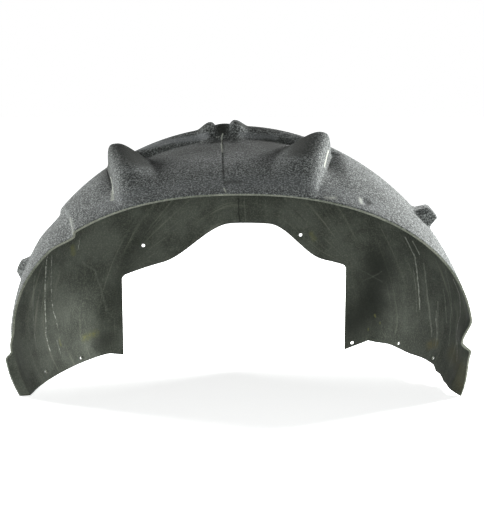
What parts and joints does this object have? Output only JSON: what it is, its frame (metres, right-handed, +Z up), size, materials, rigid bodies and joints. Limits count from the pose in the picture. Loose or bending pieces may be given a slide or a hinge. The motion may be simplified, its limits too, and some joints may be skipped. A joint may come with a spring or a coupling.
{
  "type": "wheel arch liner",
  "caption": "Wheel arch liner pressed from one sheet of felt: an arched tread with pockets, a rolled inner wall with a large cut-out, and clip holes.",
  "frame": {"origin": "middle of the plan's box, on the ground the liner stands on", "axes": "+X along the vehicle, +Y from the outboard lip towards the inner wall, +Z up"},
  "size_m": [0.8358, 0.305, 0.4856],
  "materials": {
    "felt": "matt needle-punched felt, dark grey, with pale fibres and paler cut edges"
  },
  "bodies": {
    "root": {"arch_liner": "felt"}
  },
  "joints": []
}
